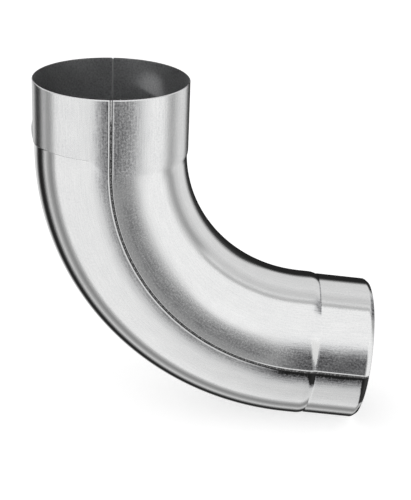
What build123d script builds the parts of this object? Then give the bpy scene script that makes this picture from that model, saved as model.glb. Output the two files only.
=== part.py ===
from build123d import *
import os
from math import cos, radians, sin

# A round downspout elbow of galvanised sheet steel. It is pressed as two half shells, a heel half
# round the outside of the bend and a throat half round the inside. One weld along each side joins
# the halves. The pipe above goes into the socket, and the spigot goes into the pipe below.
#
# All sizes are in millimetres and degrees. The origin is the centre of the socket's mouth. +Z
# points out of the mouth along its axis, and the outlet bends round towards +X.

# The pipe run that the elbow joins
pipe_diameter = 100.0
pipe_wall = 0.65
socket_clearance = 0.3
spigot_clearance = 0.15

# The sheet that both halves are pressed from
sheet = 0.65

# The socket, and the step below it that stops the pipe
socket_depth = 42.0
step_in = 0.85
step_length = 4.2
neck_length = 1.2

# The bend, measured on the centre line
bend_radius = 140.0
bend_angle = 85.0

# The tail: a plain stretch, the taper down to the spigot, and the lip turned in at the end. The lip
# is a lead-in slope and then a steeper edge.
tail_length = 6.5
taper_length = 6.0
spigot_length = 37.5
lead_in = 3.3
lead_in_angle = 36.0
edge_in = 1.5
edge_angle = 68.0

# The two side seams, and the weld that fills each of them. Both seams lie a little towards the
# throat, and are turned a little the same way round the tube.
seam_offset = 0.5
seam_skew = 2.7
weld_width = 1.2
weld_crown = 0.2
crevice_width = 0.45
crevice_depth = 0.35

# The shallow oval boss pressed out of the heel, just above the socket's step
boss_height = 1.0
boss_length = 14.0
boss_above_step = 0.6

# How far a cutting tool runs past what it cuts
overrun = 1.0

socket_radius = pipe_diameter / 2 + socket_clearance + sheet
body_radius = socket_radius - step_in
spigot_radius = pipe_diameter / 2 - pipe_wall - spigot_clearance
straight_length = socket_depth + step_length + neck_length
lead_in_end = (lead_in * cos(radians(lead_in_angle)), lead_in * sin(radians(lead_in_angle)))
lip_length = lead_in_end[0] + edge_in * cos(radians(edge_angle))
lip_depth = lead_in_end[1] + edge_in * sin(radians(edge_angle))
outlet_length = tail_length + taper_length + spigot_length

bend_centre = (bend_radius, 0, -straight_length)
bend_axis = Axis(bend_centre, (0, -1, 0))
bend_start = Pos(0, 0, -straight_length)
outlet = Pos(
    bend_radius * (1 - cos(radians(bend_angle))),
    0,
    -straight_length - bend_radius * sin(radians(bend_angle)),
) * Rot(0, -bend_angle, 0)


def mouth_line():
    """The outer line of the wall from the rim to the bend, drawn as radius against height."""
    return Polyline(
        (socket_radius, 0),
        (socket_radius, -socket_depth),
        (body_radius, -socket_depth - step_length),
        (body_radius, -straight_length),
    )


def outlet_line():
    """The outer line of the wall from the bend to the end of the turned-in lip."""
    lip_start = -outlet_length + lip_length
    return Polyline(
        (body_radius, 0),
        (body_radius, -tail_length),
        (spigot_radius, -tail_length - taper_length),
        (spigot_radius, lip_start),
        (spigot_radius - lead_in_end[1], lip_start - lead_in_end[0]),
        (spigot_radius - lip_depth, -outlet_length),
    )


def sheet_along(line):
    """The sheet's section: the outer line, and the same line one thickness further in."""
    return Plane.XZ * make_face(offset(line, sheet, side=Side.RIGHT, kind=Kind.INTERSECTION))


def ring_section():
    """The round wall cut square across the bend."""
    return bend_start * (Circle(body_radius) - Circle(body_radius - sheet))


def whole_wall():
    """The elbow's wall all round, before the seams divide it."""
    mouth = revolve(sheet_along(mouth_line()), Axis.Z)
    bend = revolve(ring_section(), bend_axis, bend_angle)
    tail = outlet * revolve(sheet_along(outlet_line()), Axis.Z)
    return mouth + bend + tail


def seam_turn(side):
    """Turns the throat's direction round the tube to a seam: side is 1 or -1, for +Y or -Y."""
    return Rot(0, 0, side * (90 - seam_offset) + seam_skew)


def seam_slot(side):
    """The slot that one weld fills, from the rim to the lip, with flanks a weld's width apart."""
    turn = seam_turn(side)
    inner = spigot_radius - lip_depth - sheet - overrun
    depth = socket_radius + overrun - inner
    place = Pos(inner + depth / 2, 0, 0)
    top = turn * place * Pos(0, 0, -straight_length / 2) * Box(depth, weld_width, straight_length)
    round_bend = revolve(bend_start * turn * place * Rectangle(depth, weld_width), bend_axis, bend_angle)
    end = outlet * turn * place * Pos(0, 0, -outlet_length / 2) * Box(depth, weld_width, outlet_length)
    return [top, round_bend, end]


def along_seam(section, side):
    """Carries a small section along a seam, on the outer line of the wall."""
    turn = seam_turn(side)
    top_path = turn * (Plane.XZ * mouth_line())
    top = sweep(turn * Pos(socket_radius, 0, 0) * section, path=top_path, transition=Transition.RIGHT)
    round_bend = revolve(bend_start * turn * Pos(body_radius, 0, 0) * section, bend_axis, bend_angle)
    tail_path = turn * (Plane.XZ * outlet_line())
    tail = sweep(turn * Pos(body_radius, 0, 0) * section, path=tail_path, transition=Transition.RIGHT)
    return [top, round_bend, outlet * tail]


def crevice_section():
    """The notch that the rounded edges of both halves leave beside the weld."""
    spread = crevice_width / crevice_depth
    low = weld_width / 2
    high = low + crevice_width + overrun / 2 * spread
    corners = [(-crevice_depth, -low), (overrun / 2, -high), (overrun / 2, high), (-crevice_depth, low)]
    return make_face(Polyline(*corners, close=True))


def crown_section():
    """The bevelled top of a weld, set into the weld's core by as much as it stands out."""
    low = weld_width / 2
    high = low / 2
    base = [(0, low), (-weld_crown, low), (-weld_crown, -low), (0, -low)]
    top = [(weld_crown, -high), (weld_crown, high)]
    return make_face(Polyline(*base, *top, close=True))


def weld(wall, side):
    """One seam weld: the slot's share of the wall, flush inside, with a low crown outside."""
    core = [wall & part for part in seam_slot(side)]
    return Part() + core + along_seam(crown_section(), side)


def half_shells(wall):
    """The wall divided along both seams. The heel half is the one that starts nearer to -X."""
    for side in (-1, 1):
        wall = wall - seam_slot(side)
        wall = wall - along_seam(crevice_section(), side)
    return wall.solids().sort_by(Axis.X)


def press_boss(heel):
    """Presses the boss out of the heel: a dome of the sheet's own thickness, hollow behind."""
    half_length = boss_length / 2
    dome_radius = (half_length**2 + boss_height**2) / (2 * boss_height)
    height = -socket_depth + boss_above_step + half_length
    centre = Pos(-(socket_radius + boss_height - dome_radius), 0, height)
    hollow = centre * Sphere(dome_radius - sheet)
    dome = centre * Sphere(dome_radius) - hollow - Cylinder(socket_radius - sheet, 2 * straight_length)
    window = Box(2 * (sheet + boss_height), 4 * boss_length, boss_length)
    return heel - hollow + (dome & Pos(-socket_radius, 0, height) * window)


def main():
    wall = whole_wall()
    halves = half_shells(wall)
    nodes = {
        "heel_shell": press_boss(halves[0]),
        "throat_shell": halves[-1],
        "near_side_weld": weld(wall, -1),
        "far_side_weld": weld(wall, 1),
    }
    os.makedirs("parts", exist_ok=True)
    for name, shape in nodes.items():
        shape.label = name
        export_step(shape, f"parts/{name}.step")


main()
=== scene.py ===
from math import acos, asin, cos, degrees, pi, radians, sin, sqrt, tan

import bpy
from mathutils import Matrix, Vector


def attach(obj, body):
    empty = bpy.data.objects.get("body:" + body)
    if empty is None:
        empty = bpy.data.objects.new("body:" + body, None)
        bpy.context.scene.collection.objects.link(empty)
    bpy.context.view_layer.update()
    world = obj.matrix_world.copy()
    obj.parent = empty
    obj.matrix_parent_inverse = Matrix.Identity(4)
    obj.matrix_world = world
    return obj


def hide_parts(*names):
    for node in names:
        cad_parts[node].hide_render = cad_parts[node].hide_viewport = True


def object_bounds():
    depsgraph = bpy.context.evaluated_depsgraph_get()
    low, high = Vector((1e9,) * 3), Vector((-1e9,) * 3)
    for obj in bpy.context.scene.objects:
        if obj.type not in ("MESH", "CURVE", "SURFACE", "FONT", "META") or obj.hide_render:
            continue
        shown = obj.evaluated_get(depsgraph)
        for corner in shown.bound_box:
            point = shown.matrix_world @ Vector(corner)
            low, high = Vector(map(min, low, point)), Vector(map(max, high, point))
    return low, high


# The look of a round downspout elbow of galvanised sheet steel: two pressed half shells, a heel and
# a throat, and the rippled weld along each side that joins them. The shells and welds are drawn
# again here with rounded edges, ridged seams and a fine grain, and stand for the CAD nodes.
#
# Sizes are in millimetres until place() turns them into metres. A point of the tube is given by its
# way along the centre line from the mouth, its distance from that line, and its turn round it. The
# turn is 0 at the heel, a quarter turn on the camera's side, and a half turn at the throat.
#
# Most features come up or fade softly. A pair of numbers whose name ends in FROM, such as
# THROAT_ROPE_FROM = (215, 240), says where that starts and where it is complete.

MM = 0.001

SHEET = 0.65
SOCKET_RADIUS = 50.95
BODY_RADIUS = 50.1
SPIGOT_RADIUS = 49.2
SOCKET_HEIGHT = SOCKET_RADIUS - BODY_RADIUS

# The step below the socket. It is short and crisp at the heel, long and faint at the front, and
# lower down at the throat. These pairs are angles in degrees from the heel.
STEP_START = 41.4
STEP_LOWER = 5.8
STEP_LOWER_FROM = (80, 180)
STEP_WAVE = 2.0
STEP_WAVE_FROM = (15, 45)
STEP_WAVE_GONE_FROM = (105, 75)
STEP_CRISP = 0.33
STEP_FAINT = 13.0
STEP_FAINT_FROM = (74, 92)
STEP_THROAT = 4.9
STEP_THROAT_FROM = (110, 180)
STEP_ROUNDING = 0.4
STEP_END = 60.0

STRAIGHT_LENGTH = 47.4
BEND_RADIUS = 140.0
BEND_ANGLE = radians(85)
BEND_LENGTH = BEND_RADIUS * BEND_ANGLE

# The tail: a plain stretch, the taper with a shallow groove at its foot, and the spigot
TAIL_LENGTH = 6.5
TAPER_LENGTH = 6.0
TAPER_CURVE = 2.2
VALLEY_DEPTH = 0.2
VALLEY_LENGTH = 1.6
SPIGOT_LENGTH = 37.48
TAPER_START = STRAIGHT_LENGTH + BEND_LENGTH + TAIL_LENGTH
TAPER_END = TAPER_START + TAPER_LENGTH
TUBE_END = TAPER_END + SPIGOT_LENGTH

# The turned-in lip: a lead-in slope and a steeper edge, and the rounding before each of them
LEAD_IN = 3.3
LEAD_IN_ANGLE = radians(36)
LEAD_IN_ROUNDING = 3.5
EDGE_IN = 1.5
EDGE_ANGLE = radians(68)
EDGE_ROUNDING = 0.7
LIP_START = TUBE_END - LEAD_IN * cos(LEAD_IN_ANGLE) - EDGE_IN * cos(EDGE_ANGLE)

# The seams, and what lies beside each weld: a crevice, and a low ridge along each sheet's edge
NEAR_SEAM = radians(93.2)
FAR_SEAM = radians(-87.8)
WELD_HALF = 0.6
WELD_TOP = -0.1
WELD_INSIDE = 0.25
CREVICE_WIDTH = 0.45
CREVICE_DEPTH = 0.35
CREVICE_SHADE_FROM = (0.45, 0.1)
RIDGE_HEIGHT = 0.15
RIDGE_AT = 0.6
RIDGE_WIDTH = 1.1

# The ridges and the welds' ripples die away over this length at both ends of the tube
END_RUN = 1.5

# The heel's ridge is dotted in the bend, and nearly gone after it
HEEL_DOTS = 0.35
HEEL_DOTS_FROM = (60, 80)
HEEL_RIDGE_LOSS = 0.8
HEEL_RIDGE_LOSS_FROM = (190, 230)

# The throat's ridge is low in the bend, and high and twisted like a rope on the tail
THROAT_RIDGE_LOSS = 0.6
THROAT_RIDGE_LOSS_FROM = (40, 60)
THROAT_RIDGE_BACK_FROM = (200, 235)
THROAT_ROPE_LIFT = 0.5
THROAT_ROPE_SWING = 0.6
THROAT_ROPE_LENGTH = 2.9
THROAT_ROPE_FROM = (215, 240)

# The beads of the weld, whose gap drifts a little, and two smaller waves on top of them
BEAD_HEIGHT = 0.07
BEAD_GAP = 2.3
BEAD_DRIFT = 1.5
BEAD_DRIFT_LENGTH = 17
SLOW_WAVE_HEIGHT = 0.03
SLOW_WAVE_LENGTH = 2.1
QUICK_WAVE_HEIGHT = 0.02
QUICK_WAVE_LENGTH = 0.77
QUICK_WAVE_SHIFT = 2

# The boss is the cap of a sphere. Past its reach, in radians round the tube, there is none of it.
BOSS_ALONG = 35.4
BOSS_LENGTH = 14.0
BOSS_HEIGHT = 0.95
BOSS_REACH = 1
BOSS_SOFTNESS = 0.08
BOSS_FOOT_DEPTH = 0.5
BOSS_FULL_HEIGHT = 0.3

RIM_ROUNDING = 0.58
RIM_FLATNESS = 1.6
RIM_INSIDE = 0.05

# How far apart the rings of points are: on plain stretches, on the soft part of the step, on the
# taper, and where the line turns sharply. The welds have theirs closer.
STATION_GAP = 0.8
STEP_GAP = 0.5
TAPER_GAP = 0.4
FINE_GAP = 0.12
WELD_CLOSENESS = 0.5
RIPPLE_GAP = 0.42

# The closest rings start this far before the step and end this far past its start. They start again
# this far before the taper's end.
STEP_TURN_BEFORE = 0.6
STEP_TURN_AFTER = 1.4
TAPER_TURN_BEFORE = 0.5

# The columns of points round each half shell: even ones, then crowded ones on the ridge, and one
# just past it
COLUMN_STEP = radians(2.5)
EDGE_STEPS = 10
EDGE_CROWDING = 1.3
PAST_RIDGE = 0.25

# How many steps the small roundings are drawn in
RIM_STEPS = 6
LEAD_IN_STEPS = 6
LIP_EDGE_STEPS = 5
CROWN_STEPS = 10
INSIDE_STEPS = 6

SHARP_ANGLE = radians(50)

# How far from a weld the painted shade beside it reaches, and how wide the rubbed wedge is
HEEL_SHADE_REACH = 13.0
THROAT_SHADE_REACH = 27.0
GROOVE_SHADE_REACH = 16.0
LIP_SHADE_REACH = 25.0
RUBBED_WIDTH = 27.0

# Painted shade beside the welds, standing in for dark reflections. On the heel's socket it is
# capped, and in the heel's bend it fades faster than evenly. The rim and ridge crests have none.
HEEL_SOCKET_FROM = (75, 45)
HEEL_SOCKET_SLOPE = 2
HEEL_SOCKET_DARK = 1.2
HEEL_SPIGOT_FROM = (215, 250)
HEEL_SPIGOT_DARK = 2.3
HEEL_BEND_DARK = 1.2
HEEL_BEND_CURVE = 1.5
THROAT_SOCKET_FROM = (75, 40)
THROAT_SOCKET_DARK = 1.25
BELOW_RIM_FROM = (0.3, 1.1)
PAST_CREST_FROM = (RIDGE_WIDTH - 0.2, RIDGE_WIDTH + 0.6)
BEFORE_CREST_FROM = (0.4, 0.1)

# The sheet is grainier beside the seams than further round, by distance from the weld
WORKED_FROM = (30.0, 16.0)


def place(along, radius, turn):
    """A point of the tube, in metres."""
    angle = min(max((along - STRAIGHT_LENGTH) / BEND_RADIUS, 0), BEND_ANGLE)
    before = min(along, STRAIGHT_LENGTH)
    after = max(along - STRAIGHT_LENGTH - BEND_LENGTH, 0)
    towards_heel = radius * cos(turn)
    towards_camera = radius * sin(turn)
    x = BEND_RADIUS - (BEND_RADIUS + towards_heel) * cos(angle) + after * sin(angle)
    z = -before - (BEND_RADIUS + towards_heel) * sin(angle) - after * cos(angle)
    return Vector((x, -towards_camera, z)) * MM


# The wall's outer line


def ease(t):
    """Rises smoothly from 0 to 1 as t does."""
    t = min(max(t, 0), 1)
    return t * t * (3 - 2 * t)


def soft_slope(t, rounding):
    """Rises evenly from 0 to 1 as t does, with both corners rounded."""
    if t > 0.5:
        return 1 - soft_slope(1 - t, rounding)
    if t > rounding:
        return t
    return max(t + rounding, 0) ** 2 / (4 * rounding)


def come_up(value, pair):
    """Rises smoothly from 0 at the pair's first number to 1 at its second."""
    low, high = pair
    return ease((value - low) / (high - low))


def socket_lift(along, turn):
    """How far the socket stands out of the body's line, at a point of the wall."""
    if along > STEP_END:
        return 0.0
    side = degrees(acos(cos(turn)))
    start = STEP_START + STEP_LOWER * come_up(side, STEP_LOWER_FROM)
    start -= STEP_WAVE * come_up(side, STEP_WAVE_FROM) * come_up(side, STEP_WAVE_GONE_FROM)
    run = STEP_CRISP + (STEP_FAINT - STEP_CRISP) * come_up(side, STEP_FAINT_FROM)
    run -= (STEP_FAINT - STEP_THROAT) * come_up(side, STEP_THROAT_FROM)
    return SOCKET_HEIGHT * (1 - soft_slope((along - start) / run, STEP_ROUNDING))


def wall_radius(along):
    """The wall's outer radius as far as the lip's start, without what the socket adds."""
    radius = BODY_RADIUS
    taper = min(max((along - TAPER_START) / (TAPER_END - TAPER_START), 0), 1)
    radius -= taper**TAPER_CURVE * (BODY_RADIUS - SPIGOT_RADIUS + VALLEY_DEPTH)
    if along > TAPER_END:
        radius += VALLEY_DEPTH * ease((along - TAPER_END) / VALLEY_LENGTH)
    return radius


def stations(start, end, gap):
    """Ways along the tube from start to before end, evenly spaced."""
    count = max(1, round((end - start) / gap))
    return [start + (end - start) * i / count for i in range(count)]


def rounded_turn(corner, before, after, rounding, count):
    """An arc round a corner of the outer line, which turns in from one slope to a steeper one."""
    reach = rounding * tan((after - before) / 2)
    start = (corner[0] - reach * cos(before), corner[1] + reach * sin(before))
    arc = []
    for i in range(count + 1):
        a = before + (after - before) * i / count
        along = start[0] + rounding * (sin(a) - sin(before))
        arc.append((along, start[1] - rounding * (cos(before) - cos(a))))
    return arc


def lip_line():
    """The outer line of the turned-in lip, down to its edge."""
    first = (LIP_START, SPIGOT_RADIUS)
    slope_end = LIP_START + LEAD_IN * cos(LEAD_IN_ANGLE)
    second = (slope_end, SPIGOT_RADIUS - LEAD_IN * sin(LEAD_IN_ANGLE))
    last = (TUBE_END, second[1] - EDGE_IN * sin(EDGE_ANGLE))
    line = rounded_turn(first, 0.0, LEAD_IN_ANGLE, LEAD_IN_ROUNDING, LEAD_IN_STEPS)
    line += rounded_turn(second, LEAD_IN_ANGLE, EDGE_ANGLE, EDGE_ROUNDING, LIP_EDGE_STEPS)
    return line + [last]


def outer_line(closeness=1.0):
    """The outer line from the rim to the lip's edge, as (along, radius) points."""
    line = []
    for i in range(RIM_STEPS):
        a = pi / 2 * i / (RIM_STEPS - 1)
        across = RIM_ROUNDING * (1 - max(cos(a), 0) ** RIM_FLATNESS)
        line.append((across, BODY_RADIUS - RIM_ROUNDING * (1 - sin(a) ** RIM_FLATNESS)))
    lip = lip_line()
    step_turn = STEP_START - STEP_WAVE - STEP_TURN_BEFORE
    runs = [
        (RIM_ROUNDING * 2, step_turn, STATION_GAP),
        (step_turn, STEP_START + STEP_TURN_AFTER, FINE_GAP),
        (STEP_START + STEP_TURN_AFTER, STEP_END, STEP_GAP),
        (STEP_END, TAPER_START, STATION_GAP),
        (TAPER_START, TAPER_END - TAPER_TURN_BEFORE, TAPER_GAP),
        (TAPER_END - TAPER_TURN_BEFORE, TAPER_END + VALLEY_LENGTH, FINE_GAP),
        (TAPER_END + VALLEY_LENGTH, lip[0][0], STATION_GAP),
    ]
    for start, end, gap in runs:
        line += [(s, wall_radius(s)) for s in stations(start, end, gap * closeness)]
    return line + lip


def inward(line, i):
    """The unit step from the outer line into the sheet, at one of its points."""
    a = line[max(i - 1, 0)]
    b = line[min(i + 1, len(line) - 1)]
    step = Vector((b[0] - a[0], b[1] - a[1])).normalized()
    return Vector((step.y, -step.x))


def inner_line(line):
    """The wall's inner line: one sheet further in, with a small rounding of its own at the rim."""
    inner = []
    for i, (along, radius) in enumerate(line):
        if i < RIM_STEPS:
            a = pi / 2 * i / (RIM_STEPS - 1)
            low = BODY_RADIUS - SHEET
            inner.append((RIM_INSIDE * (1 - cos(a)), low + RIM_INSIDE * (1 - sin(a))))
        else:
            step = inward(line, i)
            inner.append((along + step.x * SHEET, radius + step.y * SHEET))
    return inner


def boss_lift(along, turn):
    """How far the boss stands out of the socket's wall: the cap of a sphere, soft at its foot."""
    if abs(along - BOSS_ALONG) > BOSS_LENGTH:
        return 0.0
    half = BOSS_LENGTH / 2
    sphere = (half**2 + BOSS_HEIGHT**2) / (2 * BOSS_HEIGHT)
    centre = SOCKET_RADIUS + BOSS_HEIGHT - sphere
    chord = sphere**2 - (along - BOSS_ALONG) ** 2 - (centre * sin(turn)) ** 2
    if chord <= 0 or abs(turn) > BOSS_REACH:
        return 0.0
    lift = centre * cos(turn) + sqrt(chord) - SOCKET_RADIUS
    if lift <= -BOSS_FOOT_DEPTH:
        return 0.0
    return (lift + sqrt(lift * lift + BOSS_SOFTNESS * BOSS_SOFTNESS)) / 2


# The ridges beside the welds


def between_ends(along):
    """0 at the rim and at the lip's edge, and 1 from a short run away from each."""
    return ease(along / END_RUN) * ease((TUBE_END - along) / END_RUN)


def heel_ridge(along):
    """How high the ridge on the heel's edge is."""
    dots = 1 + HEEL_DOTS * sin(2 * pi * along / BEAD_GAP) * come_up(along, HEEL_DOTS_FROM)
    left = 1 - HEEL_RIDGE_LOSS * come_up(along, HEEL_RIDGE_LOSS_FROM)
    return RIDGE_HEIGHT * dots * left * between_ends(along)


def throat_ridge(along):
    """How high the ridge on the throat's edge is."""
    twist = THROAT_ROPE_LIFT + THROAT_ROPE_SWING * sin(2 * pi * along / THROAT_ROPE_LENGTH)
    rope = 1 + twist * come_up(along, THROAT_ROPE_FROM)
    low = come_up(along, THROAT_RIDGE_LOSS_FROM) * (1 - come_up(along, THROAT_RIDGE_BACK_FROM))
    return RIDGE_HEIGHT * rope * (1 - THROAT_RIDGE_LOSS * low) * between_ends(along)


def edge_height(distance, ridge):
    """The sheet's height at a distance from the weld: a rounded crevice, and then the ridge."""
    crevice = CREVICE_DEPTH * max(1 - distance / CREVICE_WIDTH, 0) ** 2
    hump = ease(distance / RIDGE_AT) * ease((RIDGE_WIDTH - distance) / (RIDGE_WIDTH - RIDGE_AT))
    return ridge * hump - crevice


# Painted shade and painted light on the outside, standing in for reflections, and a rubbed wedge


def patch(strength, starts=None, ends=None, near=None, far=None, slant=0.0):
    """A mark, as a function of the way along the tube and the distance from the nearer weld.

    Each bound is a pair. starts and ends bound it along the tube, and near and far away from the
    weld. slant moves its start along the tube by so much for each millimetre from the weld.
    """

    def strength_at(along, distance):
        slanted = along - slant * distance
        here = strength
        for value, pair in ((slanted, starts), (along, ends), (distance, near), (distance, far)):
            if pair:
                here *= come_up(value, pair)
        return here

    return strength_at


# On the heel, painted shade: a fine dark line past the ridge on the socket, a wedge in the
# groove at the taper's foot, and the lip's edge
socket_shade_line = patch(
    2.3,
    ends=HEEL_SOCKET_FROM,
    near=(RIDGE_WIDTH + 0.05, RIDGE_WIDTH + 0.2),
    far=(RIDGE_WIDTH + 0.9, RIDGE_WIDTH + 0.4),
)
groove_painted_shade = patch(
    2.6,
    starts=(TAPER_START - 0.5, TAPER_START + 1.5),
    ends=(TAPER_END + 1.4, TAPER_END + 0.4),
    far=(GROOVE_SHADE_REACH, 0.4 * GROOVE_SHADE_REACH),
    slant=4.5 / GROOVE_SHADE_REACH,
)
lip_painted_shade = patch(
    2.6,
    starts=(LIP_START - 2.2, LIP_START - 1.6),
    far=(LIP_SHADE_REACH, LIP_SHADE_REACH - 3),
    slant=1.6 / LIP_SHADE_REACH,
)

# On the throat, painted shade: a band in the bend, a wider one on the spigot, and three marks
# far round the tail
bend_shade_band = patch(0.8, starts=(50, 80), ends=(260, 225), near=(2, 6.5), far=(21, 9))
spigot_shade_band = patch(1.45, starts=(225, 260), ends=(LIP_START - 0.6, LIP_START - 1.2), far=(28, 10))
taper_foot_shade = patch(
    1.3,
    starts=(TAPER_END - 0.9, TAPER_END - 0.3),
    ends=(TAPER_END + 0.7, TAPER_END + 0.1),
    near=(40, 52),
)
taper_shade_patch = patch(
    1.3,
    starts=(TAPER_START - 1.5, TAPER_END - 1),
    ends=(TAPER_END + 0.9, TAPER_END + 0.2),
    near=(38, 44),
    far=(56, 50),
)
lip_shade_patch = patch(1.7, starts=(LIP_START - 0.5, LIP_START + 1), near=(38, 46), far=(68, 58))

# The wedge of the throat's taper that the press has rubbed matte, and that painted light makes
# lighter
rubbed_painted_light_wedge = patch(
    1.0,
    starts=(TAPER_START + 3.6, TAPER_START + 5.1),
    ends=(TAPER_END + 0.6, TAPER_END),
    near=(2, 12),
    far=(RUBBED_WIDTH, RUBBED_WIDTH - 8),
    slant=-4.8 / RUBBED_WIDTH,
)


def beside_ridge(distance):
    """1 in the crevice and past the ridge; 0 on the ridge's crest, free of painted shade."""
    return max(come_up(distance, PAST_CREST_FROM), come_up(distance, BEFORE_CREST_FROM))


def heel_weld_painted_shade(along, distance):
    """Painted shade beside a weld on the heel: on the socket, on the spigot and between."""
    socket = come_up(along, HEEL_SOCKET_FROM)
    spigot = come_up(along, HEEL_SPIGOT_FROM)
    fade = max(1 - distance / HEEL_SHADE_REACH, 0)
    dark = min(HEEL_SOCKET_SLOPE * fade, HEEL_SOCKET_DARK) * socket
    dark += HEEL_SPIGOT_DARK * fade * spigot
    dark += HEEL_BEND_DARK * fade**HEEL_BEND_CURVE * (1 - socket - spigot)
    return dark * max(beside_ridge(distance), spigot)


def heel_painted_shade(along, distance):
    """Painted shade on the heel's sheet."""
    beside = max(heel_weld_painted_shade(along, distance), socket_shade_line(along, distance))
    beside *= come_up(along, BELOW_RIM_FROM)
    return max(beside, groove_painted_shade(along, distance), lip_painted_shade(along, distance))


def throat_painted_shade(along, distance):
    """Painted shade on the throat's sheet; below 0, painted light on the rubbed matte wedge."""
    socket = THROAT_SOCKET_DARK * max(1 - distance / THROAT_SHADE_REACH, 0)
    socket *= come_up(along, THROAT_SOCKET_FROM) * come_up(along, BELOW_RIM_FROM)
    beside = max(socket, bend_shade_band(along, distance), spigot_shade_band(along, distance))
    beside *= beside_ridge(distance)
    far = max(mark(along, distance) for mark in (taper_foot_shade, taper_shade_patch, lip_shade_patch))
    rubbed = rubbed_painted_light_wedge(along, distance)
    # Where the wedge is rubbed the mark goes below 0, which is painted light
    return max(beside, far) * (1 - rubbed) - rubbed


# Meshes


def new_piece(name, points, faces, marks, material):
    """A mesh piece that rides on the part. marks has a dict of named numbers for each point."""
    mesh = bpy.data.meshes.new(name)
    mesh.from_pydata(points, [], faces)
    for label in marks[0]:
        attribute = mesh.attributes.new(label, "FLOAT", "POINT")
        attribute.data.foreach_set("value", [mark[label] for mark in marks])
    mesh.shade_smooth()
    mesh.set_sharp_from_angle(angle=SHARP_ANGLE)
    mesh.materials.append(material)
    piece = bpy.data.objects.new(name, mesh)
    bpy.context.scene.collection.objects.link(piece)
    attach(piece, "root")
    return piece


def shell_columns(start, end):
    """A half shell's columns, each as (function from a radius to its turn, distance to a weld)."""
    edge = [RIDGE_WIDTH * (i / EDGE_STEPS) ** EDGE_CROWDING for i in range(EDGE_STEPS + 1)]
    edge.append(RIDGE_WIDTH + PAST_RIDGE)
    columns = [(lambda r, d=d: start + asin((WELD_HALF + d) / r), d) for d in edge]
    count = round((end - start) / COLUMN_STEP)
    for i in range(1, count):
        share = i / count
        nearest = min(share, 1 - share) * (end - start) * BODY_RADIUS
        columns.append((lambda r, t=share: start + t * (end - start), nearest))
    columns += [(lambda r, d=d: end - asin((WELD_HALF + d) / r), d) for d in reversed(edge)]
    return columns


def shell_marks(along, turn, distance, skin, painted_shade):
    """What the material is told about one point of a half shell. skin is 1 for the inner one."""
    return {
        "along": along,
        "around": turn * BODY_RADIUS,
        "inside": skin,
        # Painted shade beside the welds and round the tail, standing in for dark reflections; below
        # 0 it is painted light
        "painted_shade": painted_shade * (1 - skin),
        # Painted shade in the crevice beside the weld
        "crevice": come_up(distance, CREVICE_SHADE_FROM) * (1 - skin),
        "worked": come_up(distance, WORKED_FROM),
        "boss": min(boss_lift(along, turn) / BOSS_FULL_HEIGHT, 1),
        "socket": socket_lift(along, turn) / SOCKET_HEIGHT,
    }


def shell_surface(line, columns, ridge_at, painted_shade_at):
    """The points of a half shell and the marks of each: the outer skin and then the inner one."""
    inner = inner_line(line)
    points = []
    marks = []
    for skin in (0, 1):
        for i, (along, radius) in enumerate(line):
            step = inward(line, i)
            ridge = ridge_at(along)
            for turn_at, distance in columns:
                turn = turn_at(radius)
                lift = boss_lift(along, turn) + socket_lift(along, turn)
                if skin:
                    points.append(place(inner[i][0], inner[i][1] + lift, turn))
                else:
                    height = edge_height(distance, ridge)
                    outer = radius - step.y * height + lift
                    points.append(place(along - step.x * height, outer, turn))
                marks.append(shell_marks(along, turn, distance, skin, painted_shade_at(along, distance)))
    return points, marks


def shell_faces(wide, high):
    """The faces of both skins, and the strips that join them at the rim, the lip and the seams."""
    inner = wide * high
    faces = []
    for i in range(high - 1):
        for j in range(wide - 1):
            a = i * wide + j
            faces.append((a, a + 1, a + wide + 1, a + wide))
            faces.append((inner + a, inner + a + wide, inner + a + wide + 1, inner + a + 1))
    for j in range(wide - 1):
        a = (high - 1) * wide + j
        faces.append((j, inner + j, inner + j + 1, j + 1))
        faces.append((a, a + 1, inner + a + 1, inner + a))
    for i in range(high - 1):
        a = i * wide
        b = a + wide - 1
        faces.append((a, a + wide, inner + a + wide, inner + a))
        faces.append((b, inner + b, inner + b + wide, b + wide))
    return faces


def make_shell(name, start, end, ridge_at, painted_shade_at, material):
    """One half shell from seam to seam, of one sheet's thickness and closed all round."""
    line = outer_line()
    columns = shell_columns(start, end)
    points, marks = shell_surface(line, columns, ridge_at, painted_shade_at)
    faces = shell_faces(len(columns), len(line))
    return new_piece(name, points, faces, marks, material)


def even_line(line, gap):
    """The same line, with its points an even gap apart."""
    places = [Vector(point) for point in line]
    even = [places[0]]
    left = gap
    for a, b in zip(places, places[1:]):
        run = (b - a).length
        way = left
        while way < run:
            even.append(a.lerp(b, way / run))
            way += gap
        left = way - run
    even.append(places[-1])
    return [(p.x, p.y) for p in even]


def ripple(along):
    """The weld's height above its plain crown, from the beads that the torch laid down."""
    drift = BEAD_DRIFT * sin(along / BEAD_DRIFT_LENGTH)
    bead = BEAD_HEIGHT * sin(2 * pi * along / BEAD_GAP + drift)
    slow = SLOW_WAVE_HEIGHT * sin(along / SLOW_WAVE_LENGTH)
    quick = QUICK_WAVE_HEIGHT * sin(along / QUICK_WAVE_LENGTH + QUICK_WAVE_SHIFT)
    return bead + (slow + quick)


def weld_section(along):
    """The weld's outline as (across, height) points: a crown outside, a low bead inside."""
    outline = []
    top = CREVICE_DEPTH + WELD_TOP + ripple(along) * between_ends(along)
    for i in range(CROWN_STEPS + 1):
        across = -cos(pi * i / CROWN_STEPS)
        height = -CREVICE_DEPTH + top * sqrt(max(0, 1 - across * across))
        outline.append((across * WELD_HALF, height))
    for i in range(INSIDE_STEPS + 1):
        across = cos(pi * i / INSIDE_STEPS)
        height = -SHEET - WELD_INSIDE * sqrt(max(0, 1 - across * across))
        outline.append((across * WELD_HALF, height))
    return outline


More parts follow.
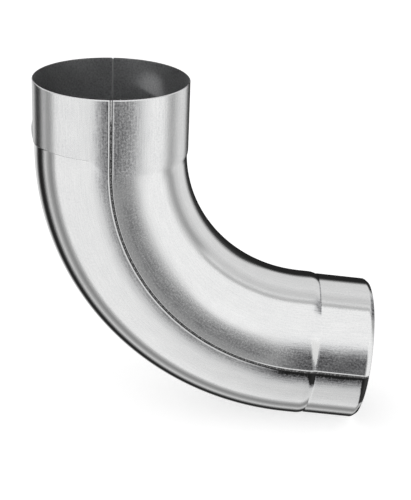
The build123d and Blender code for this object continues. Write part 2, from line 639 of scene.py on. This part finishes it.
def make_weld(name, seam, material):
    """The weld along one seam, from the rim to the lip's edge."""
    line = even_line(outer_line(WELD_CLOSENESS), RIPPLE_GAP)
    points = []
    marks = []
    for i, (along, radius) in enumerate(line):
        step = inward(line, i)
        lift = socket_lift(along, seam)
        for across, height in weld_section(along):
            turn = seam + across / radius
            points.append(place(along - step.x * height, radius - step.y * height + lift, turn))
            marks.append({"along": along, "around": across, "inside": float(height <= -SHEET)})
    size = len(weld_section(0))
    faces = [tuple(reversed(range(size)))]
    faces.append(tuple(range((len(line) - 1) * size, len(line) * size)))
    for i in range(len(line) - 1):
        for j in range(size):
            k = (j + 1) % size
            faces.append((i * size + j, i * size + k, (i + 1) * size + k, (i + 1) * size + j))
    return new_piece(name, points, faces, marks, material)


# Materials


class Nodes:
    """A few short words for building a node tree."""

    def __init__(self, tree):
        self.tree = tree

    def add(self, kind, **settings):
        node = self.tree.nodes.new(kind)
        for name, value in settings.items():
            setattr(node, name, value)
        return node

    def link(self, source, target):
        self.tree.links.new(source, target)

    def put(self, socket, value):
        """Links another node's output to a socket, or sets the socket's own value."""
        if isinstance(value, bpy.types.NodeSocket):
            self.link(value, socket)
        else:
            socket.default_value = value

    def math(self, operation, a, b=0.0, clamp=False):
        node = self.add("ShaderNodeMath", operation=operation, use_clamp=clamp)
        self.put(node.inputs[0], a)
        self.put(node.inputs[1], b)
        return node.outputs[0]

    def dot(self, direction, fixed):
        """The dot product of a direction and a fixed one."""
        node = self.add("ShaderNodeVectorMath", operation="DOT_PRODUCT")
        self.link(direction, node.inputs[0])
        node.inputs[1].default_value = fixed
        return node.outputs["Value"]

    def mark(self, name):
        """The number that the mesh keeps for each point under a name."""
        return self.add("ShaderNodeAttribute", attribute_name=name).outputs["Fac"]

    def tube(self, along_scale, around_scale):
        """The tube's own coordinates in mm, times a scale each way."""
        node = self.add("ShaderNodeCombineXYZ")
        self.link(self.math("MULTIPLY", self.mark("along"), along_scale), node.inputs[0])
        self.link(self.math("MULTIPLY", self.mark("around"), around_scale), node.inputs[1])
        return node.outputs[0]

    def noise(self, vector, scale, detail, roughness):
        node = self.add("ShaderNodeTexNoise")
        self.link(vector, node.inputs["Vector"])
        node.inputs["Scale"].default_value = scale
        node.inputs["Detail"].default_value = detail
        node.inputs["Roughness"].default_value = roughness
        return node.outputs["Fac"]

    def rise(self, value, low, high):
        """0 below low and 1 above high, smooth between."""
        node = self.add("ShaderNodeMapRange", interpolation_type="SMOOTHSTEP")
        self.link(value, node.inputs["Value"])
        node.inputs["From Min"].default_value = low
        node.inputs["From Max"].default_value = high
        return node.outputs["Result"]

    def mix(self, factor, a, b):
        """Goes from a to b as the factor goes from 0 to 1. Each is a number or an output."""
        node = self.add("ShaderNodeMix", data_type="FLOAT")
        self.put(node.inputs["Factor"], factor)
        self.put(node.inputs["A"], a)
        self.put(node.inputs["B"], b)
        return node.outputs["Result"]

    def blend(self, factor, a, b, blend_type="MIX"):
        """A mix of two colours, of which a is an output."""
        node = self.add("ShaderNodeMix", data_type="RGBA", blend_type=blend_type)
        self.put(node.inputs["Factor"], factor)
        self.link(a, node.inputs["A"])
        self.put(node.inputs["B"], b)
        return node.outputs["Result"]

    def weighted(self, *parts):
        """The sum of several patterns, each times its weight."""
        total = self.math("MULTIPLY", *parts[0])
        for pattern, weight in parts[1:]:
            total = self.math("ADD", total, self.math("MULTIPLY", pattern, weight))
        return total

    def less(self, value, mark, amount):
        """The value, less an amount where the mark is 1."""
        return self.math("SUBTRACT", value, self.math("MULTIPLY", mark, amount))

    def ramp(self, value, stops):
        """A colour ramp. stops are pairs of a place and a grey or a colour."""
        node = self.add("ShaderNodeValToRGB")
        self.link(value, node.inputs["Fac"])
        elements = node.color_ramp.elements
        while len(elements) < len(stops):
            elements.new(0.5)
        for element, (position, grey) in zip(elements, stops):
            element.position = position
            colour = grey if isinstance(grey, tuple) else (grey, grey, grey)
            element.color = (*colour, 1)
        return node.outputs["Color"]


def empty_material(name):
    material = bpy.data.materials.new(name)
    material.use_nodes = True
    return material, Nodes(material.node_tree), material.node_tree.nodes["Principled BSDF"]


# The zinc's patterns, each as the scale, detail and roughness of a noise. The streaks are drawn out
# along the tube.
GRAIN = (0.75, 4.0, 0.7)
CLOUD = (0.07, 4.0, 0.6)
STREAKS = (1.1, 3.0, 0.6)
STREAK_STRETCH = 0.06
STREAK_MIDDLE = 0.5

# What each pattern adds to the zinc's tone, and what is taken off it: a little on the socket,
# and painted shade inside the tube, in the crevices, on the boss and beside the welds
GRAIN_TONE = 0.5
CLOUD_TONE = 0.15
STREAK_TONE = 0.35
INSIDE_SHADE_TONE = 0.19
SOCKET_TONE = 0.03
PAINTED_SHADE_TONE = 0.26
CREVICE_SHADE_TONE = 0.6
BOSS_SHADE_SHARE = 0.28

# The zinc's colours by tone
ZINC_COLOURS = [
    (0, (0.03, 0.03, 0.03)),
    (0.1, (0.3, 0.3, 0.31)),
    (0.36, (0.76, 0.765, 0.77)),
    (0.64, (0.92, 0.92, 0.915)),
]

# The zinc's roughness: mottled with the grain where the sheet was worked, and even elsewhere
EVEN_ROUGHNESS = 0.06
MOTTLED_ROUGHNESS = 0.28
MOTTLED_FROM = (0.4, 0.62)
SOCKET_ROUGHNESS = 0.15
SOCKET_ROUGH_FROM = (0.3, 0.6)
INSIDE_ROUGHNESS = 0.3
BOSS_ROUGHNESS = 0.5
RUBBED_ROUGHNESS = 0.65
BOSS_DULLNESS = 0.4

BUMP_STRENGTH = 0.8
BUMP_HEIGHT = 0.04
BUMP_GRAIN = 0.8
BUMP_STREAKS = 0.2


def zinc_tone(nodes, grain, streaks, in_socket):
    """How light the zinc is, before the ramp that gives it its colour."""
    cloud = nodes.noise(nodes.tube(1.0, 1.0), *CLOUD)
    tone = nodes.weighted((grain, GRAIN_TONE), (cloud, CLOUD_TONE), (streaks, STREAK_TONE))
    # Painted shade: the inside of the tube is darker
    tone = nodes.less(tone, nodes.mark("inside"), INSIDE_SHADE_TONE)
    tone = nodes.less(tone, in_socket, SOCKET_TONE)
    # Painted shade on the boss
    boss = nodes.math("MULTIPLY", nodes.mark("boss"), BOSS_SHADE_SHARE)
    # Painted shade in the crevices beside the welds, and on the boss
    crevice_and_boss_shade = nodes.math("MAXIMUM", boss, nodes.mark("crevice"))
    tone = nodes.less(tone, crevice_and_boss_shade, CREVICE_SHADE_TONE)
    # Painted shade beside the welds, and painted light where the mark is below 0
    return nodes.less(tone, nodes.mark("painted_shade"), PAINTED_SHADE_TONE)


def zinc_roughness(nodes, grain, in_socket):
    """How rough the zinc is: mottled beside the seams, and matte on the boss and where rubbed."""
    mottled = nodes.mix(nodes.rise(grain, *MOTTLED_FROM), EVEN_ROUGHNESS, MOTTLED_ROUGHNESS)
    rough = nodes.mix(nodes.mark("worked"), EVEN_ROUGHNESS, mottled)
    rough = nodes.math("ADD", rough, nodes.math("MULTIPLY", in_socket, SOCKET_ROUGHNESS))
    rough = nodes.mix(nodes.mark("inside"), rough, INSIDE_ROUGHNESS)
    rough = nodes.mix(nodes.mark("boss"), rough, BOSS_ROUGHNESS)
    rubbed = nodes.math("MULTIPLY", nodes.mark("painted_shade"), -1.0, clamp=True)
    return nodes.mix(rubbed, rough, RUBBED_ROUGHNESS)


def zinc_material():
    """Galvanised sheet: cool grey, finely mottled and streaked along the tube."""
    material, nodes, shader = empty_material("zinc sheet")
    grain = nodes.noise(nodes.tube(1.0, 1.0), *GRAIN)
    streaks = nodes.noise(nodes.tube(STREAK_STRETCH, 1.0), *STREAKS)
    smooth = nodes.math("MAXIMUM", nodes.mark("inside"), nodes.mark("boss"))
    streaks = nodes.mix(smooth, streaks, STREAK_MIDDLE)
    in_socket = nodes.rise(nodes.mark("socket"), *SOCKET_ROUGH_FROM)
    colour = nodes.ramp(zinc_tone(nodes, grain, streaks, in_socket), ZINC_COLOURS)
    nodes.link(colour, shader.inputs["Base Color"])
    shader.inputs["Specular IOR Level"].default_value = 0.0
    nodes.link(nodes.less(1.0, nodes.mark("boss"), BOSS_DULLNESS), shader.inputs["Metallic"])
    nodes.link(zinc_roughness(nodes, grain, in_socket), shader.inputs["Roughness"])
    bump = nodes.add("ShaderNodeBump")
    bump.inputs["Strength"].default_value = BUMP_STRENGTH
    bump.inputs["Distance"].default_value = BUMP_HEIGHT * MM
    nodes.link(nodes.weighted((grain, BUMP_GRAIN), (streaks, BUMP_STREAKS)), bump.inputs["Height"])
    nodes.link(bump.outputs["Normal"], shader.inputs["Normal"])
    return material


# The weld's patterns as above: a grain, and dots that change only along the weld
WELD_GRAIN = (1.2, 3.0, 0.6)
WELD_DOTS = (1.0, 1.0, 0.5)
WELD_DOT_SCALE = 0.5
WELD_DOTS_FROM = (0.4, 0.6)

# The weld has a painted highlight along its middle, by distance across it, and as far down
# as this
WELD_SIDE_FROM = (0.2, 0.45)
WELD_DARK_FROM = (10, 16)

WELD_DOT_TONE = 0.16
WELD_HIGHLIGHT_TONE = 0.6
WELD_GREYS = [(0.35, 0.03), (0.65, 0.22), (0.9, 0.8)]
WELD_ROUGHNESS = [(0.3, 0.42), (0.7, 0.28)]


def weld_material():
    """The weld: painted highlight below the rim and inside the tube, else darker than the sheet."""
    material, nodes, shader = empty_material("weld bead")
    grain = nodes.noise(nodes.tube(1.0, 1.0), *WELD_GRAIN)
    dots = nodes.rise(nodes.noise(nodes.tube(WELD_DOT_SCALE, 0.0), *WELD_DOTS), *WELD_DOTS_FROM)
    off_centre = nodes.rise(nodes.math("ABSOLUTE", nodes.mark("around")), *WELD_SIDE_FROM)
    further_down = nodes.rise(nodes.mark("along"), *WELD_DARK_FROM)
    # Painted highlight along the weld's middle below the rim, and all over its inside
    light = nodes.math("SUBTRACT", 1.0, nodes.math("MAXIMUM", further_down, off_centre))
    light = nodes.math("MAXIMUM", light, nodes.mark("inside"))
    tone = nodes.weighted((grain, 1.0), (dots, WELD_DOT_TONE), (light, WELD_HIGHLIGHT_TONE))
    nodes.link(nodes.ramp(tone, WELD_GREYS), shader.inputs["Base Color"])
    shader.inputs["Metallic"].default_value = 1.0
    nodes.link(nodes.ramp(grain, WELD_ROUGHNESS), shader.inputs["Roughness"])
    return material


# The studio, in metres

FLOOR_LIFT = 0.5
FLOOR_SIZE = 12.0
FLOOR_CLEARANCE = 0.0005
FLOOR_GREY = 0.8
FLOOR_ROUGHNESS = 0.9

# What the metal mirrors, by the angle in degrees from the camera's side of the studio. Each pair is
# (angle, grey): soft boxes, flags and the gaps between them. One list is for the heel's side and
# below, one for the throat's side and one for overhead.
HEEL_SIDE = [
    (0, 0.93), (86, 0.92), (91, 0.5), (98, 0.26), (104, 0.36), (111, 0.66), (116, 0.3), (120, 0.06),
    (124, 0.02), (132, 0.02), (136, 0.1), (142, 0.5), (146, 0.72), (154, 0.68), (162, 0.92),
    (180, 1.0),
]
THROAT_SIDE = [
    (0, 0.98), (85, 0.97), (92, 0.7), (99, 0.42), (104, 0.4), (111, 0.62), (122, 0.78), (136, 0.78),
    (142, 0.4), (147, 0.05), (158, 0.02), (180, 0.02),
]
OVERHEAD = [
    (0, 0.98), (88, 0.96), (92, 0.52), (95, 0.56), (99, 0.8), (103, 0.66), (110, 0.66), (120, 0.78),
    (150, 0.72), (156, 0.15), (160, 0.03), (180, 0.02),
]

# The directions of the camera and of the throat's side, and where the throat's list and the one for
# overhead take over from the heel's
CAMERA_WARDS = (0, -1, 0)
THROAT_WARDS = (0.8, 0.31, 0.79)
THROAT_SIDE_FROM = (-0.08, 0.08)
OVERHEAD_FROM = (0.22, 0.4)

# Shades, each as (angle, grey) pairs from its middle: the dark round the camera, and the dimmer
# floor below it on the throat's side. Then one small lamp beside the camera, as the share of white
# at each angle. Their middles are (sideways, up) in degrees from the camera.
CAMERA_SHADE = [(0, 0.35), (12, 0.36), (18, 0.42), (24, 0.57), (31, 0.85), (40, 1.0)]
CAMERA_SHADE_AT = (15, -11)
LOW_SHADE = [(0, 0.72), (14, 0.76), (28, 0.9), (40, 1.0)]
LOW_SHADE_AT = (32, -55)
LAMP = [(0, 1.0), (9, 0.9), (15, 0.0)]
LAMP_AT = (36, 20)

# The lamp that shines into the mouth, and the place on the wall that it lights
MOUTH_LAMP_POWER = 26.0
MOUTH_LAMP_CONE = radians(1.6)
MOUTH_LAMP_BLEND = 1.0
MOUTH_LAMP_SIZE = 0.01
MOUTH_LAMP_AT = (-0.32, -0.16, 0.085)
MOUTH_SPOT = (0.025, 0.043, -0.019)

CAMERA_PLACE = (0.04209, -0.75563, 0.21195)
CAMERA_YAW = radians(1.742)
CAMERA_PITCH = radians(-23.646)
CAMERA_ROLL = radians(2.369)
CAMERA_LENS = 86.83
CAMERA_SENSOR = 36

WHITE = (1, 1, 1, 1)


def degrees_from(nodes, direction, target):
    """The angle between a direction and a fixed one, as a share of 180 degrees."""
    angle = nodes.math("ARCCOSINE", nodes.dot(direction, target))
    return nodes.math("DIVIDE", angle, pi)


def shares(stops):
    """Stops in degrees, as shares of 180."""
    return [(angle / 180, grey) for angle, grey in stops]


def studio_point(spot):
    """The direction at (sideways, up) degrees from the camera's side of the studio."""
    sideways = radians(spot[0])
    up = radians(spot[1])
    return (sin(sideways) * cos(up), -cos(sideways) * cos(up), sin(up))


def studio_colour(nodes):
    """The studio's grey in each direction."""
    direction = nodes.add("ShaderNodeTexCoord").outputs["Generated"]
    ring = degrees_from(nodes, direction, CAMERA_WARDS)
    heel = nodes.ramp(ring, shares(HEEL_SIDE))
    throat = nodes.ramp(ring, shares(THROAT_SIDE))
    overhead = nodes.ramp(ring, shares(OVERHEAD))
    on_throat_side = nodes.rise(nodes.dot(direction, THROAT_WARDS), *THROAT_SIDE_FROM)
    height = nodes.add("ShaderNodeSeparateXYZ")
    nodes.link(direction, height.inputs[0])
    sides = nodes.blend(on_throat_side, heel, throat)
    around = nodes.blend(nodes.rise(height.outputs["Z"], *OVERHEAD_FROM), sides, overhead)
    for stops, middle in ((CAMERA_SHADE, CAMERA_SHADE_AT), (LOW_SHADE, LOW_SHADE_AT)):
        shade = nodes.ramp(degrees_from(nodes, direction, studio_point(middle)), shares(stops))
        around = nodes.blend(1.0, around, shade, "MULTIPLY")
    lamp = nodes.ramp(degrees_from(nodes, direction, studio_point(LAMP_AT)), shares(LAMP))
    return nodes.blend(lamp, around, WHITE)


def make_world():
    """The studio round the part: soft boxes and flags for the metal, plain white for the camera."""
    world = bpy.data.worlds.new("studio")
    bpy.context.scene.world = world
    world.use_nodes = True
    nodes = Nodes(world.node_tree)
    background = world.node_tree.nodes["Background"]
    seen = nodes.add("ShaderNodeLightPath").outputs["Is Camera Ray"]
    nodes.link(nodes.blend(seen, studio_colour(nodes), WHITE), background.inputs["Color"])
    background.inputs["Strength"].default_value = 1.0


def make_mouth_lamp():
    """A small lamp from the upper left that lights one soft spot inside the mouth."""
    data = bpy.data.lights.new("mouth lamp", "SPOT")
    data.energy = MOUTH_LAMP_POWER
    data.spot_size = MOUTH_LAMP_CONE
    data.spot_blend = MOUTH_LAMP_BLEND
    data.shadow_soft_size = MOUTH_LAMP_SIZE
    lamp = bpy.data.objects.new("mouth lamp", data)
    aim = Vector(MOUTH_SPOT) - Vector(MOUTH_LAMP_AT)
    turn = aim.to_track_quat("-Z", "Y").to_matrix().to_4x4()
    lamp.matrix_world = Matrix.Translation(MOUTH_LAMP_AT) @ turn
    bpy.context.scene.collection.objects.link(lamp)


def floor_material():
    """A pale floor. Seen by the camera it comes out white, and keeps the part's shadow."""
    material, nodes, shader = empty_material("pale floor")
    shader.inputs["Base Color"].default_value = (FLOOR_GREY, FLOOR_GREY, FLOOR_GREY, 1)
    shader.inputs["Roughness"].default_value = FLOOR_ROUGHNESS
    shader.inputs["Specular IOR Level"].default_value = 0.0
    seen = nodes.add("ShaderNodeLightPath").outputs["Is Camera Ray"]
    shader.inputs["Emission Color"].default_value = WHITE
    nodes.link(nodes.math("MULTIPLY", seen, FLOOR_LIFT), shader.inputs["Emission Strength"])
    return material


def make_floor(lowest):
    """The floor just below the part. The metal mirrors the studio's boxes and not the floor."""
    half = FLOOR_SIZE / 2
    corners = [(-half, -half, 0), (half, -half, 0), (half, half, 0), (-half, half, 0)]
    mesh = bpy.data.meshes.new("floor")
    mesh.from_pydata(corners, [], [(0, 1, 2, 3)])
    mesh.materials.append(floor_material())
    floor = bpy.data.objects.new("floor", mesh)
    floor.location.z = lowest - FLOOR_CLEARANCE
    floor.visible_glossy = False
    bpy.context.scene.collection.objects.link(floor)


def make_camera():
    """The photograph's view: a little above the mouth and nearly square to the bend."""
    flat = cos(CAMERA_PITCH)
    forward = Vector((sin(CAMERA_YAW) * flat, cos(CAMERA_YAW) * flat, sin(CAMERA_PITCH)))
    level = Vector((cos(CAMERA_YAW), -sin(CAMERA_YAW), 0))
    up = level.cross(forward)
    right = cos(CAMERA_ROLL) * level + sin(CAMERA_ROLL) * up
    up = right.cross(forward)
    data = bpy.data.cameras.new("camera")
    data.sensor_width = CAMERA_SENSOR
    data.lens = CAMERA_LENS
    camera = bpy.data.objects.new("camera", data)
    turn = Matrix((right, up, -forward)).transposed()
    camera.matrix_world = Matrix.Translation(CAMERA_PLACE) @ turn.to_4x4()
    bpy.context.scene.collection.objects.link(camera)
    bpy.context.scene.camera = camera


def make_part():
    """The four pieces, each in place of its CAD node."""
    zinc = zinc_material()
    bead = weld_material()
    heel = make_shell("heel_sheet", FAR_SEAM, NEAR_SEAM, heel_ridge, heel_painted_shade, zinc)
    round_again = 2 * pi + FAR_SEAM
    throat = make_shell("throat_sheet", NEAR_SEAM, round_again, throat_ridge, throat_painted_shade, zinc)
    near = make_weld("near_weld_bead", NEAR_SEAM, bead)
    far = make_weld("far_weld_bead", FAR_SEAM, bead)
    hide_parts("heel_shell")
    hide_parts("throat_shell")
    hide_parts("near_side_weld")
    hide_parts("far_side_weld")


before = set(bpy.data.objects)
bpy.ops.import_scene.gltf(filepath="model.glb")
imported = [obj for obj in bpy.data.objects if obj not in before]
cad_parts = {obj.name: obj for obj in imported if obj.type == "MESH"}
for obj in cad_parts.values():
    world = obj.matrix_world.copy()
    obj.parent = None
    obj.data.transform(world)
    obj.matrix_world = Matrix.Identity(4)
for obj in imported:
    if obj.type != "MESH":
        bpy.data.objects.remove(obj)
cad_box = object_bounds()
bpy.context.scene.view_settings.view_transform = "Standard"
make_camera()
make_world()
make_mouth_lamp()
make_floor(cad_box[0][2])
make_part()
